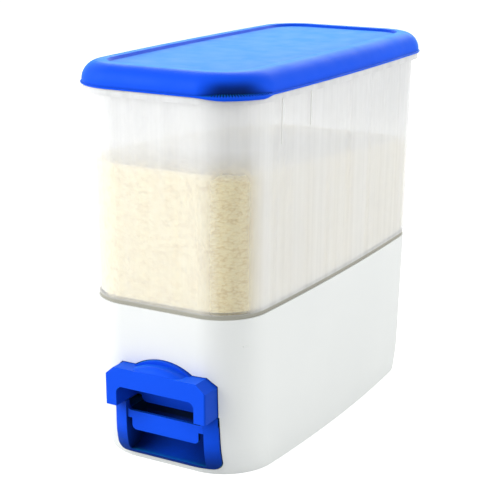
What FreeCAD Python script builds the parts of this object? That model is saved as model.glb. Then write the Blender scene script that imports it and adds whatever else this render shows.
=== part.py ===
"""Rice dispenser with a measuring slide and a drawer.

Frame: +Z up, +X to the right seen from the front, the front faces -Y.
The origin is the middle of the underside of the base. All lengths are in millimetres.
"""
import FreeCAD
import Part
import math
import os

Vector = FreeCAD.Vector

# ---------------------------------------------------------------- driving dimensions
# Plan contour of the body: flat short ends, gently bowed long sides, round corners.
seam_z = 150.0                  # middle of the groove between base and hopper
seam_half_width = 88.3
seam_half_depth = 187.8
seam_corner_radius = 44.2
side_bow = 6.0                  # how far a long side bulges at its middle
hopper_top_z = 345.0
hopper_top_half_width = 90.8
hopper_top_half_depth = 189.8
hopper_top_corner_radius = 45.2
base_bottom_half_width = 88.4
base_bottom_corner_radius = 51.0
base_bottom_bow = 9.6
base_wall_half_depth_low = 186.4   # where the straight end wall stops
base_toe_height = 34.0             # below this the end walls round inwards
base_toe_inset = 7.0

base_wall = 3.0
hopper_wall = 2.4
groove_height = 4.0
fit_gap = 0.3                   # between pieces that are put together or slide
screw_gap = 0.05                # round a screw's shank

# Seat of the hopper in the base
ledge_top_z = 139.2
ledge_height = 3.2
ledge_reach = 4.0
ledge_root = 0.5                # of the ledge inside the base's wall
spigot_wall = 2.2
spigot_step_height = 2.0
funnel_rim_height = 1.8
gasket_reveal = 1.2             # how far the gasket lies behind the walls

# Rim of the hopper
flange_z = 334.6
flange_height = 5.6
flange_reach = 5.6
flange_lip_height = 2.0
flange_collar_wall = 1.6

# Funnel and the rice in the hopper
funnel_wall = 2.0
funnel_slope_gap = 0.6          # from the ledge to the slopes
funnel_rim_overlap = 2.6        # of the rim over the slopes
spout_height = 1.5              # above the slide rails' lips
spout_gap = 0.8                 # over the slide
outlet_corner_radius = 3.0
outlet_bow = 0.05
rice_gap = 0.4
rice_front_z = 275.0            # the heap's height at the front and at the back
rice_back_z = 245.0
rice_crown = 5.0

# Lid
lid_lip_z = 340.6
lid_top_z = 360.0
lid_overhang = 7.3
lid_lip_height = 1.8
lid_lip_flare = 1.2
lid_edge_radius = 16.5
lid_edge_steps = 10
hollow_edge_radius = 11.5
lid_wall = 2.2
panel_margin = 24.0
panel_depth = 2.6
panel_edge_slope = 1.6
tab_reach = 3.4
tab_drop = 2.4
tab_angle_start = -86.0
tab_angle_end = -14.0
tab_grip_count = 25
tab_grip_depth = 0.6
scoop_radius = 30.0
scoop_depth = 3.2
scoop_wall = 1.6
scoop_rise = 9.0
seal_height = 3.2
seal_width = 4.4
seal_rib_wall = 2.4

# Fronts of the slide and the drawer
front_centre_x = 4.7
handle_half_width = 52.2
handle_bottom_z = 57.6
handle_shoulder_z = 94.0
handle_shoulder_chamfer = 9.0   # across
handle_shoulder_drop = 7.8      # down
handle_reach = 16.5             # in front of the base's end wall
handle_depth = 36.5
handle_wall = 3.0
handle_back_wall = 2.5
handle_apron_z = 50.8           # low edge of the back wall, above the drawer's bar
handle_apron_gap = 4.0          # beside the drawer's stiles
handle_apron_corner_radius = 6.0
hump_half_width = 29.0
hump_rise = 8.6
hump_ridge_step = 3.2
hump_ridge_thickness = 4.0
hump_front_radius = 7.0
grip_half_width = 40.6
grip_top_z = 76.4
grip_corner_radius = 6.0
grip_web = 1.6                  # cheeks beside the finger space
handle_edge_radius = 1.6

drawer_bottom_z = 6.0
drawer_top_gap = 0.8
drawer_top_half_width = 52.8
drawer_bottom_half_width = 53.8
drawer_corner_radius = 8.0
drawer_proud = 1.6              # in front of the base's wall
drawer_front_depth = 36.0
drawer_back_wall = 2.5
drawer_stile = 12.2
drawer_bar_top_z = 48.4
drawer_bar_bottom_z = 41.2
drawer_bar_setback = 1.4        # of the bar and its lip behind the stiles
drawer_bar_corner_radius = 5.0
drawer_face_wall = 3.0
drawer_rim = 2.8
recess_curve_height = 20.0
recess_curve_y = 7.0            # middle of the recess's curve, from its back and its rim
recess_curve_z = 5.0
window_corner_radius = 4.0
lip_half_width = 35.2
lip_bottom_z = 30.4
lip_corner_radius = 4.5
opening_gap = 0.7
opening_depth = 12.0            # of the cutters behind the base's wall
over = 1.0                      # a cutter's reach past the face that it cuts

# Measuring slide, its deck and the drawer's channel
outlet_half_width = 40.5
outlet_half_length = 36.0
pocket_half_width = 44.0
slide_wall = 2.0
slide_travel = 76.0
drop_hole_margin = 2.0
drop_hole_side_margin = 2.0
deck_top_z = 56.0
deck_thickness = 2.6
slide_height = 30.0
shutter_thickness = 2.0
shutter_overrun = 3.0
chassis_half_width = 62.0
chassis_wall = 2.5
chassis_back_y = 118.0
chassis_foot = 9.0
chassis_foot_half_length = 90.0
rail_wall = 2.5
rail_lip_reach = 2.4
rail_foot = 7.0
rail_front_y = -150.0
rail_screw_ys = (-125.0, 0.0, 100.0)
seal_lip_width = 2.4
seal_lip_gap = 0.2
seal_lip_height = 0.4

tray_wall = 2.0
tray_half_width = 49.0
tray_length = 200.0
tray_top_z = 48.0
tray_corner_radius = 6.0
drawer_travel = 150.0
catch_height = 3.0
catch_length = 2.0
catch_setback = 12.0            # from the tray's rear wall
stop_thickness = 3.0
runner_top_z = 8.0
runner_width = 7.0
runner_guide_wall = 2.4
runner_guide_height = 6.0
floor_thickness = 3.0

# Fasteners: small pan-head screws for plastic
screw_radius = 1.45
screw_head_radius = 2.9
screw_head_height = 1.8
screw_slot_half = 0.4
floor_screw_length = 12.0
head_sink = 0.4                 # of a floor screw below the underside
hole_bottom_gap = 1.0           # under a screw's end
through_gap = 0.5               # from a screw's end to the face behind it
handle_screw_grip = 3.0         # past the slide's wall
floor_boss_radius = 5.0
floor_boss_height = 26.0
boss_web = 2.0
boss_x = 73.0
boss_end_gap = 54.4               # from the straight end wall to a floor boss
chassis_screw_y = 60.0
handle_screw_x = 24.0
handle_screw_z = 71.0

# ---------------------------------------------------------------- derived sizes
base_top_z = seam_z - groove_height / 2
boss_y = base_wall_half_depth_low - boss_end_gap
hopper_bottom_z = seam_z + groove_height / 2
handle_front_y = -(base_wall_half_depth_low + handle_reach)
handle_back_y = handle_front_y + handle_depth
slide_bottom_z = deck_top_z + fit_gap
slide_top_z = slide_bottom_z + slide_height
slide_half_width = pocket_half_width + slide_wall
pocket_half_length = outlet_half_length
drop_front_y = -pocket_half_length - slide_travel
drop_back_y = drop_front_y + 2 * pocket_half_length - drop_hole_margin
drawer_top_z = handle_bottom_z - drawer_top_gap
drawer_back_y = -(base_wall_half_depth_low + drawer_proud) + drawer_front_depth
tray_bottom_z = runner_top_z + fit_gap
tray_back_y = drawer_back_y + tray_length
chassis_front_y = drawer_back_y + fit_gap
catch_y = tray_back_y - catch_setback
stop_y = catch_y - drawer_travel - fit_gap - stop_thickness
deck_low_z = deck_top_z - deck_thickness
funnel_rim_z = ledge_top_z + funnel_rim_height
slope_inset = base_wall + ledge_reach + funnel_slope_gap
spout_top_z = slide_top_z + fit_gap + rail_wall + spout_height
spout_low_z = slide_top_z + spout_gap
toe_levels = [0.0, 3.0, 7.0, 12.0, 18.0, 25.0, base_toe_height]


# ---------------------------------------------------------------- basic shapes
def contour(half_width, half_depth, bow, radius, z, inset=0.0):
    """Closed wire: flat ends, bowed long sides, tangent corner arcs, moved inwards by inset."""
    side_radius = (half_depth ** 2 + bow ** 2) / (2 * bow)
    side_x = half_width - side_radius
    corner_y = half_depth - radius
    corner_x = side_x + math.sqrt((side_radius - radius) ** 2 - corner_y ** 2)
    arc_side = side_radius - inset
    arc_corner = radius - inset
    end_y = half_depth - inset
    turn = math.atan2(corner_y, corner_x - side_x)
    middle = (turn + math.pi / 2) / 2

    def on_side(sign_x, sign_y):
        return Vector(sign_x * (side_x + arc_side * math.cos(turn)), sign_y * arc_side * math.sin(turn), z)

    def on_corner(sign_x, sign_y, angle):
        x = corner_x + arc_corner * math.cos(angle)
        y = corner_y + arc_corner * math.sin(angle)
        return Vector(sign_x * x, sign_y * y, z)

    def on_end(sign_x, sign_y):
        return Vector(sign_x * corner_x, sign_y * end_y, z)

    side_middle = side_x + arc_side
    edges = [
        Part.Arc(on_side(1, -1), Vector(side_middle, 0, z), on_side(1, 1)).toShape(),
        Part.Arc(on_side(1, 1), on_corner(1, 1, middle), on_end(1, 1)).toShape(),
        Part.LineSegment(on_end(1, 1), on_end(-1, 1)).toShape(),
        Part.Arc(on_end(-1, 1), on_corner(-1, 1, middle), on_side(-1, 1)).toShape(),
        Part.Arc(on_side(-1, 1), Vector(-side_middle, 0, z), on_side(-1, -1)).toShape(),
        Part.Arc(on_side(-1, -1), on_corner(-1, -1, middle), on_end(-1, -1)).toShape(),
        Part.LineSegment(on_end(-1, -1), on_end(1, -1)).toShape(),
        Part.Arc(on_end(1, -1), on_corner(1, -1, middle), on_side(1, -1)).toShape(),
    ]
    return Part.Wire(edges)


def between(low, high, share):
    return low + (high - low) * share


def base_section(z, inset=0.0):
    """Contour of the base at a height: straight walls above, ends rounding inwards at the toe."""
    share = z / seam_z
    half_width = between(base_bottom_half_width, seam_half_width, share)
    radius = between(base_bottom_corner_radius, seam_corner_radius, share)
    bow = between(base_bottom_bow, side_bow, share)
    rise = max(z - base_toe_height, 0.0) / (seam_z - base_toe_height)
    half_depth = between(base_wall_half_depth_low, seam_half_depth, rise)
    if z < base_toe_height:
        drop = 1.0 - z / base_toe_height
        half_depth -= base_toe_inset * drop ** 2
    return contour(half_width, half_depth, bow, radius, z, inset)


def hopper_section(z, inset=0.0):
    """Contour of the hopper's outside at a height."""
    share = (z - seam_z) / (hopper_top_z - seam_z)
    half_width = between(seam_half_width, hopper_top_half_width, share)
    half_depth = between(seam_half_depth, hopper_top_half_depth, share)
    radius = between(seam_corner_radius, hopper_top_corner_radius, share)
    return contour(half_width, half_depth, side_bow, radius, z, inset)


def loft(wires):
    return Part.makeLoft(wires, True, True)


def hopper_ring(z_low, z_high, outset, inset):
    """Ring that follows the hopper's wall, from outset outside to inset inside its surface."""
    outer = loft([hopper_section(z_low, -outset), hopper_section(z_high, -outset)])
    inner = loft([hopper_section(z_low, inset), hopper_section(z_high, inset)])
    return outer.cut(inner)


def base_ring(z_low, z_high, outset, inset):
    outer = loft([base_section(z_low, -outset), base_section(z_high, -outset)])
    inner = loft([base_section(z_low, inset), base_section(z_high, inset)])
    return outer.cut(inner)


def box(x_low, x_high, y_low, y_high, z_low, z_high):
    return Part.makeBox(x_high - x_low, y_high - y_low, z_high - z_low, Vector(x_low, y_low, z_low))


def front_box(half_width, y_low, y_high, z_low, z_high):
    """Box centred on the middle plane of the slide and the drawer."""
    return box(front_centre_x - half_width, front_centre_x + half_width, y_low, y_high, z_low, z_high)


def round_edges(shape, radius, wanted):
    """Fillet the edges that the test picks."""
    edges = [edge for edge in shape.Edges if wanted(edge)]
    return shape.makeFillet(radius, edges)


def is_along(edge, axis):
    """True for a straight edge along a unit axis."""
    if not isinstance(edge.Curve, (Part.Line, Part.LineSegment)):
        return False
    ends = edge.Vertexes
    direction = ends[1].Point.sub(ends[0].Point)
    return direction.Length > 0 and abs(abs(direction.dot(axis)) / direction.Length - 1.0) < 1e-6


AXIS_Y = Vector(0, 1, 0)
AXIS_Z = Vector(0, 0, 1)


def profile_prism(points, y_low, y_high):
    """Prism along Y from a list of (x, z) corners and arcs given as ("arc", middle, end)."""
    edges = []
    start = Vector(points[0][0], y_low, points[0][1])
    first = start
    for item in points[1:]:
        if item[0] == "arc":
            middle = Vector(item[1][0], y_low, item[1][1])
            end = Vector(item[2][0], y_low, item[2][1])
            edges.append(Part.Arc(start, middle, end).toShape())
        else:
            end = Vector(item[0], y_low, item[1])
            edges.append(Part.LineSegment(start, end).toShape())
        start = end
    edges.append(Part.LineSegment(start, first).toShape())
    face = Part.Face(Part.Wire(edges))
    return face.extrude(Vector(0, y_high - y_low, 0))


def screw(x, y, head_z, direction, length):
    """Pan-head screw: the head's seat is at head_z and the shank runs along direction."""
    seat = Vector(x, y, head_z)
    shank = Part.makeCylinder(screw_radius, length, seat, direction)
    head = Part.makeCylinder(screw_head_radius, screw_head_height, seat, direction.negative())
    slot_depth = screw_head_height / 2
    slot_z = head_z - direction.z * (screw_head_height - slot_depth / 2)
    slot = box(x - screw_head_radius, x + screw_head_radius, y - screw_slot_half, y + screw_slot_half,
               slot_z - slot_depth / 2, slot_z + slot_depth / 2)
    return shank.fuse(head).cut(slot)


# ---------------------------------------------------------------- base
def front_outline(gap):
    """Outline of the slide's handle, grown by gap, as profile points from its lower right corner."""
    half = handle_half_width + gap
    shoulder = handle_shoulder_z + gap
    chamfer = handle_shoulder_chamfer
    drop = handle_shoulder_drop
    bottom = handle_bottom_z - gap
    hump = hump_half_width + gap
    top = handle_shoulder_z + hump_rise + gap
    cx = front_centre_x
    return [
        (cx + half, bottom),
        (cx + half, shoulder - drop),
        (cx + half - chamfer, shoulder),
        (cx + hump, shoulder),
        ("arc", (cx, top), (cx - hump, shoulder)),
        (cx - half + chamfer, shoulder),
        (cx - half, shoulder - drop),
        (cx - half, bottom),
    ]


def drawer_outline(gap):
    """Outline of the drawer's front, grown by gap."""
    top = drawer_top_z + gap
    bottom = drawer_bottom_z - gap
    wide = drawer_bottom_half_width + gap
    narrow = drawer_top_half_width + gap
    radius = drawer_corner_radius + gap
    diagonal = radius * (1.0 - math.sqrt(0.5))
    cx = front_centre_x
    return [
        (cx + narrow, top),
        (cx - narrow, top),
        (cx - wide, bottom + radius),
        ("arc", (cx - wide + diagonal, bottom + diagonal), (cx - wide + radius, bottom)),
        (cx + wide - radius, bottom),
        ("arc", (cx + wide - diagonal, bottom + diagonal), (cx + wide, bottom + radius)),
    ]


def base_body(outset):
    """Solid of the base's outside, grown by outset, from the floor to the seam."""
    levels = toe_levels + [base_top_z]
    return loft([base_section(z, -outset) for z in levels])


def floor_boss_places():
    return [(x, y) for x in (-boss_x, boss_x) for y in (-boss_y, boss_y)]


def make_base_shell():
    outside = base_body(0.0)
    inside = base_body(-base_wall)
    shell = outside.cut(inside)
    ledge = base_ring(ledge_top_z - ledge_height, ledge_top_z, -base_wall + ledge_root, base_wall + ledge_reach)
    shell = shell.fuse(ledge)
    boss_top = floor_thickness + floor_boss_height
    for x, y in floor_boss_places():
        boss = Part.makeCylinder(floor_boss_radius, floor_boss_height, Vector(x, y, floor_thickness))
        outer_x = math.copysign(seam_half_width, x)
        web = box(min(x, outer_x), max(x, outer_x), y - boss_web / 2, y + boss_web / 2, floor_thickness, boss_top)
        boss = boss.fuse(web.common(outside))
        pilot = Part.makeCylinder(screw_radius + screw_gap, floor_screw_length, Vector(x, y, 0))
        shell = shell.fuse(boss).cut(pilot)
    cutter_front = handle_front_y - over
    cutter_back = -(base_wall_half_depth_low - base_wall) + opening_depth
    shell = shell.cut(profile_prism(front_outline(opening_gap), cutter_front, cutter_back))
    shell = shell.cut(profile_prism(drawer_outline(opening_gap), cutter_front, cutter_back))
    return shell.removeSplitter()


def make_base_floor():
    edge_gap = base_wall + fit_gap
    floor = loft([base_section(0.0, edge_gap), base_section(floor_thickness, edge_gap)])
    head_recess = screw_head_height + head_sink
    for x, y in floor_boss_places():
        floor = floor.cut(Part.makeCylinder(screw_radius + screw_gap, floor_thickness, Vector(x, y, 0)))
        floor = floor.cut(Part.makeCylinder(screw_head_radius + fit_gap, head_recess, Vector(x, y, 0)))
    for x, y in chassis_screw_places():
        floor = floor.cut(Part.makeCylinder(screw_radius + screw_gap, floor_thickness, Vector(x, y, 0)))
    return floor.removeSplitter()


def make_floor_screws():
    seat_z = screw_head_height + head_sink
    screws = [screw(x, y, seat_z, AXIS_Z, floor_screw_length - seat_z - hole_bottom_gap) for x, y in floor_boss_places()]
    return Part.makeCompound(screws)


# ---------------------------------------------------------------- chassis and runners
def chassis_screw_places():
    x = chassis_half_width + chassis_foot / 2
    return [(sign * x + front_centre_x, y) for sign in (-1, 1) for y in (-chassis_screw_y, chassis_screw_y)]


def make_chassis():
    """Inverted channel over the drawer; its top is the deck that the slide runs on."""
    outer = front_box(chassis_half_width, chassis_front_y, chassis_back_y, floor_thickness, deck_top_z)
    inner = front_box(chassis_half_width - chassis_wall, chassis_front_y, chassis_back_y,
                      floor_thickness, deck_low_z)
    chassis = outer.cut(inner)
    chassis = chassis.cut(front_box(outlet_half_width + drop_hole_side_margin, drop_front_y, drop_back_y,
                                    deck_low_z, deck_top_z))
    foot_top = floor_thickness + chassis_wall
    for sign in (-1, 1):
        near = front_centre_x + sign * (chassis_half_width - chassis_wall)
        far = front_centre_x + sign * (chassis_half_width + chassis_foot)
        chassis = chassis.fuse(box(min(near, far), max(near, far), -chassis_foot_half_length,
                                   chassis_foot_half_length, floor_thickness, foot_top))
    for x, y in chassis_screw_places():
        chassis = chassis.cut(Part.makeCylinder(screw_radius + screw_gap, chassis_wall, Vector(x, y, floor_thickness)))
    for x, y in rail_screw_places():
        chassis = chassis.cut(Part.makeCylinder(screw_radius + screw_gap, deck_thickness,
                                                Vector(x, y, deck_low_z)))
    return chassis.removeSplitter()


def make_chassis_screws():
    seat_z = floor_thickness + chassis_wall
    length = seat_z - through_gap
    return Part.makeCompound([screw(x, y, seat_z, AXIS_Z.negative(), length) for x, y in chassis_screw_places()])


def make_runner(sign):
    """Strip on the floor that the tray's bottom rides on, with a side guide."""
    inner_x = front_centre_x + sign * (tray_half_width - runner_width)
    guide_x = front_centre_x + sign * (tray_half_width + fit_gap)
    outer_x = guide_x + sign * runner_guide_wall
    y_low = chassis_front_y
    y_high = tray_back_y
    strip = box(min(inner_x, outer_x), max(inner_x, outer_x), y_low, y_high, floor_thickness, runner_top_z)
    guide = box(min(guide_x, outer_x), max(guide_x, outer_x), y_low, y_high, floor_thickness,
                runner_top_z + runner_guide_height)
    return strip.fuse(guide).removeSplitter()


# ---------------------------------------------------------------- slide rails and stop
def rail_screw_places():
    x = slide_half_width + fit_gap + rail_wall + rail_foot / 2
    return [(front_centre_x + sign * x, y) for sign in (-1, 1) for y in rail_screw_ys]


def make_rail(sign):
    """Angle with a lip that holds the slide down on the deck."""
    wall_in = front_centre_x + sign * (slide_half_width + fit_gap)
    wall_out = wall_in + sign * rail_wall
    lip_in = wall_in - sign * rail_lip_reach
    foot_out = wall_out + sign * rail_foot
    top = slide_top_z + fit_gap
    wall = box(min(wall_in, wall_out), max(wall_in, wall_out), rail_front_y, chassis_back_y,
               deck_top_z, top + rail_wall)
    lip = box(min(lip_in, wall_out), max(lip_in, wall_out), rail_front_y, chassis_back_y, top, top + rail_wall)
    foot = box(min(wall_in, foot_out), max(wall_in, foot_out), rail_front_y, chassis_back_y,
               deck_top_z, deck_top_z + rail_wall)
    rail = wall.fuse(lip).fuse(foot)
    for x, y in rail_screw_places():
        if (x - front_centre_x) * sign > 0:
            rail = rail.cut(Part.makeCylinder(screw_radius + screw_gap, rail_wall, Vector(x, y, deck_top_z)))
    return rail.removeSplitter()


def make_rail_screws():
    seat_z = deck_top_z + rail_wall
    length = rail_wall + deck_thickness - through_gap
    return Part.makeCompound([screw(x, y, seat_z, AXIS_Z.negative(), length) for x, y in rail_screw_places()])


def make_drawer_stops():
    """Pegs under the deck that the tray's catches meet when the drawer is fully out."""
    pegs = []
    for sign in (-1, 1):
        near = front_centre_x + sign * (tray_half_width - 2 * tray_wall)
        far = front_centre_x + sign * (tray_half_width + tray_wall)
        pegs.append(box(min(near, far), max(near, far), stop_y, stop_y + stop_thickness,
                        tray_top_z + catch_height / 2, deck_low_z))
    return Part.makeCompound(pegs)


# ---------------------------------------------------------------- measuring slide
def make_measure_slide():
    """Open-ended pocket between long side arms that reach forward to the handle."""
    arm_front = handle_back_y
    pocket_back = pocket_half_length + slide_wall
    outer = front_box(slide_half_width, arm_front, pocket_back, slide_bottom_z, slide_top_z)
    slide = outer.cut(front_box(pocket_half_width, -pocket_half_length, pocket_half_length,
                                slide_bottom_z, slide_top_z))
    slide = slide.cut(front_box(pocket_half_width, arm_front + slide_wall, -pocket_half_length - slide_wall,
                                slide_bottom_z, slide_top_z))
    relief_y = -base_wall_half_depth_low + base_wall + opening_gap + slide_travel + fit_gap
    slide = slide.cut(front_box(slide_half_width, arm_front, relief_y, slide_bottom_z, handle_bottom_z))
    for x in handle_screw_xs():
        hole = Part.makeCylinder(screw_radius + screw_gap, slide_wall, Vector(x, arm_front, handle_screw_z), AXIS_Y)
        slide = slide.cut(hole)
    return slide.removeSplitter()


def make_shutter():
    """Flat tail that closes the outlet while the pocket is forward."""
    start = pocket_half_length + slide_wall
    end = start + slide_travel + shutter_overrun
    plate = front_box(slide_half_width, start, end, slide_top_z - shutter_thickness, slide_top_z)
    for sign in (-1, 1):
        outer = front_centre_x + sign * slide_half_width
        inner = outer - sign * slide_wall
        plate = plate.fuse(box(min(outer, inner), max(outer, inner), start, end, slide_bottom_z, slide_top_z))
    return plate.removeSplitter()


def handle_screw_xs():
    return [front_centre_x + sign * handle_screw_x for sign in (-1, 1)]


def make_handle():
    """Hollow front of the slide, open below, with a hump on top and a cut-out for the fingers."""
    back = handle_back_y
    ridge_front_y = -base_wall_half_depth_low - hump_ridge_thickness
    body = profile_prism(front_outline(0.0), ridge_front_y, back)
    plain = [point for point in front_outline(0.0) if point[0] != "arc"]
    nose = profile_prism(plain, handle_front_y, ridge_front_y)
    nose = round_edges(nose, handle_edge_radius, is_handle_front_side)
    nose = nose.fuse(hump_pad(ridge_front_y))
    handle = nose.fuse(body).removeSplitter()
    hollow_top = handle_shoulder_z - handle_wall
    hollow = front_box(handle_half_width - handle_wall, handle_front_y + handle_wall, back - handle_back_wall,
                       handle_bottom_z, hollow_top)
    hollow = hollow.makeChamfer(handle_shoulder_chamfer - handle_wall / 2,
                                [e for e in hollow.Edges if is_along(e, AXIS_Y) and e.BoundBox.ZMax > hollow_top - over])
    handle = handle.cut(hollow)
    grip = front_box(grip_half_width, handle_front_y - over, handle_front_y + handle_wall + over,
                     handle_bottom_z - over, grip_top_z)
    grip = round_edges(grip, grip_corner_radius,
                       lambda e: is_along(e, AXIS_Y) and e.BoundBox.ZMin > grip_top_z - over)
    handle = handle.cut(grip)
    for sign in (-1, 1):
        near = front_centre_x + sign * grip_half_width
        far = near + sign * grip_web
        web = box(min(near, far), max(near, far), handle_front_y + handle_wall, back - handle_back_wall,
                  handle_bottom_z, hollow_top - handle_shoulder_chamfer)
        handle = handle.fuse(web)
    handle = handle.fuse(handle_apron())
    for x in handle_screw_xs():
        handle = handle.cut(Part.makeCylinder(screw_radius + screw_gap, handle_back_wall + over,
                                              Vector(x, back - handle_back_wall - over / 2, handle_screw_z), AXIS_Y))
    return handle.removeSplitter()


def handle_apron():
    """Lower part of the handle's back wall, which hangs between the drawer's stiles."""
    half = drawer_top_half_width - drawer_stile - handle_apron_gap
    apron = front_box(half, handle_back_y - handle_back_wall, handle_back_y, handle_apron_z, handle_screw_z)
    return round_edges(apron, handle_apron_corner_radius,
                       lambda e: is_along(e, AXIS_Y) and e.BoundBox.ZMax < handle_apron_z + over)


def hump_pad(back_y):
    """Thumb pad on top of the handle: a low round back with a soft front edge."""
    rise = hump_rise - hump_ridge_step
    half = hump_half_width - hump_ridge_step
    radius = (half ** 2 + rise ** 2) / (2 * rise)
    centre_z = handle_shoulder_z + rise - radius
    pad = Part.makeCylinder(radius, back_y - handle_front_y, Vector(front_centre_x, handle_front_y, centre_z), AXIS_Y)
    front_edge = [edge for edge in pad.Edges if edge.BoundBox.YMax < handle_front_y + 0.01]
    pad = pad.makeFillet(hump_front_radius, front_edge)
    return pad.common(front_box(half, handle_front_y, back_y, handle_shoulder_z - handle_wall, handle_shoulder_z + rise))


def is_handle_front_side(edge):
    bounds = edge.BoundBox
    at_front = bounds.YMax < handle_front_y + 0.01
    is_side = bounds.ZLength > 1.0 and bounds.ZMax < handle_shoulder_z - handle_shoulder_drop + 0.01
    return at_front and is_side


def make_handle_screws():
    screws = []
    for x in handle_screw_xs():
        seat = Vector(x, handle_back_y - handle_back_wall, handle_screw_z)
        length = handle_back_wall + slide_wall + handle_screw_grip
        shank = Part.makeCylinder(screw_radius, length, seat, AXIS_Y)
        head = Part.makeCylinder(screw_head_radius, screw_head_height, seat, AXIS_Y.negative())
        screws.append(shank.fuse(head).removeSplitter())
    return Part.makeCompound(screws)


# ---------------------------------------------------------------- drawer
def make_drawer_front():
    """Front of the drawer: frame with a hanging finger lip before a scooped recess."""
    front_limit = handle_front_y
    block = profile_prism(drawer_outline(0.0), front_limit, drawer_back_y)
    front = block.common(base_body(drawer_proud))
    half = drawer_top_half_width - drawer_stile
    bar_face_y = -(base_wall_half_depth_low + drawer_proud) + drawer_bar_setback
    front = front.cut(front_box(half, front_limit, bar_face_y, lip_bottom_z - over, drawer_top_z + over))
    notch = front_box(half, front_limit, drawer_back_y + over, drawer_bar_top_z, drawer_top_z + over)
    notch = round_edges(notch, drawer_bar_corner_radius,
                        lambda e: is_along(e, AXIS_Y) and e.BoundBox.ZMax < drawer_bar_top_z + over)
    front = front.cut(notch)
    behind_wall_y = -base_wall_half_depth_low + base_wall + opening_gap
    front = front.cut(front_box(drawer_bottom_half_width, behind_wall_y, drawer_back_y + over,
                                drawer_bar_top_z, drawer_top_z + over))
    front = front.cut(drawer_recess(half))
    return front.removeSplitter()


def drawer_recess(half):
    """Space behind and below the hanging lip; its back curves forward to the bottom rim."""
    face_y = -base_wall_half_depth_low
    back_y = drawer_back_y - drawer_back_wall
    rim_z = drawer_bottom_z + drawer_rim
    lip_back_y = face_y + drawer_face_wall
    curve_start_z = rim_z + recess_curve_height
    start = Vector(0, lip_back_y, rim_z)
    curve_middle = Vector(0, back_y - recess_curve_y, rim_z + recess_curve_z)
    curve_end = Vector(0, back_y, curve_start_z)
    top = Vector(0, back_y, drawer_bar_top_z + over)
    corner = Vector(0, lip_back_y, drawer_bar_top_z + over)
    edges = [
        Part.Arc(start, curve_middle, curve_end).toShape(),
        Part.LineSegment(curve_end, top).toShape(),
        Part.LineSegment(top, corner).toShape(),
        Part.LineSegment(corner, start).toShape(),
    ]
    section = Part.Face(Part.Wire(edges))
    section.translate(Vector(front_centre_x - half, 0, 0))
    scoop = section.extrude(Vector(2 * half, 0, 0))
    window = front_box(half, handle_front_y, lip_back_y + over / 2, rim_z, drawer_bar_bottom_z)
    window = round_edges(window, window_corner_radius,
                         lambda e: is_along(e, AXIS_Y) and e.BoundBox.ZMax < rim_z + over)
    lip = front_box(lip_half_width, handle_front_y, lip_back_y + over / 2, lip_bottom_z, drawer_bar_bottom_z)
    lip = round_edges(lip, lip_corner_radius,
                      lambda e: is_along(e, AXIS_Y) and e.BoundBox.ZMax < lip_bottom_z + over)
    return scoop.fuse(window.cut(lip))


def make_drawer_tray():
    outer = front_box(tray_half_width, drawer_back_y, tray_back_y, tray_bottom_z, tray_top_z)
    outer = round_edges(outer, tray_corner_radius,
                        lambda e: is_along(e, AXIS_Z) and e.BoundBox.YMin > tray_back_y - over)
    inner = front_box(tray_half_width - tray_wall, drawer_back_y + tray_wall, tray_back_y - tray_wall,
                      tray_bottom_z + tray_wall, tray_top_z + over)
    inner = round_edges(inner, tray_corner_radius - tray_wall, lambda e: is_along(e, AXIS_Z))
    tray = outer.cut(inner)
    for sign in (-1, 1):
        outer_x = front_centre_x + sign * tray_half_width
        inner_x = outer_x - sign * tray_wall
        tray = tray.fuse(box(min(outer_x, inner_x), max(outer_x, inner_x), catch_y, catch_y + catch_length,
                             tray_top_z, tray_top_z + catch_height))
    return tray.removeSplitter()


# ---------------------------------------------------------------- hopper
def make_hopper():
    outside = loft([hopper_section(hopper_bottom_z), hopper_section(hopper_top_z)])
    inside = loft([hopper_section(hopper_bottom_z, hopper_wall), hopper_section(hopper_top_z, hopper_wall)])
    shell = outside.cut(inside)
    collar_inset = -flange_reach + flange_collar_wall
    flange = hopper_ring(flange_z, flange_z + flange_lip_height,
                         flange_reach - flange_collar_wall / 2, hopper_wall / 2)
    collar = hopper_ring(flange_z, flange_z + flange_height, flange_reach, collar_inset)
    shell = shell.fuse(flange).fuse(collar)
    shell = shell.fuse(spigot())
    return shell.removeSplitter()


def spigot():
    """Lower edge of the hopper: a step inwards and a skirt that plugs into the base."""
    skirt_inset = base_wall + fit_gap
    step_high = hopper_bottom_z + spigot_step_height
    skirt = base_ring(funnel_rim_z, step_high, -skirt_inset, skirt_inset + spigot_wall)
    step = base_ring(hopper_bottom_z, step_high, -hopper_wall / 2, skirt_inset + spigot_wall / 2)
    return skirt.fuse(step)


def make_gasket():
    low = base_top_z + fit_gap / 2
    high = hopper_bottom_z - fit_gap / 2
    return base_ring(low, high, -gasket_reveal, base_wall)


def outlet_section(z, grow):
    """Rounded rectangle of the outlet, grown by grow."""
    wire = contour(outlet_half_width + grow, outlet_half_length + grow, outlet_bow,
                   outlet_corner_radius + grow, z)
    wire.translate(Vector(front_centre_x, 0, 0))
    return wire


def make_funnel():
    """Hopper floor: slopes from all sides to the outlet over the slide."""
    rim = base_ring(ledge_top_z, funnel_rim_z, -(base_wall + fit_gap), base_wall + ledge_reach + funnel_rim_overlap)
    outer = loft([outlet_section(spout_top_z, funnel_wall), base_section(funnel_rim_z, slope_inset)])
    inner = loft([outlet_section(spout_top_z, 0.0), base_section(funnel_rim_z, slope_inset + funnel_wall)])
    spout = loft([outlet_section(spout_low_z, funnel_wall), outlet_section(spout_top_z, funnel_wall)])
    spout_in = loft([outlet_section(spout_low_z, 0.0), outlet_section(spout_top_z, 0.0)])
    funnel = outer.fuse(spout).fuse(rim)
    return funnel.cut(inner).cut(spout_in).removeSplitter()


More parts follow.
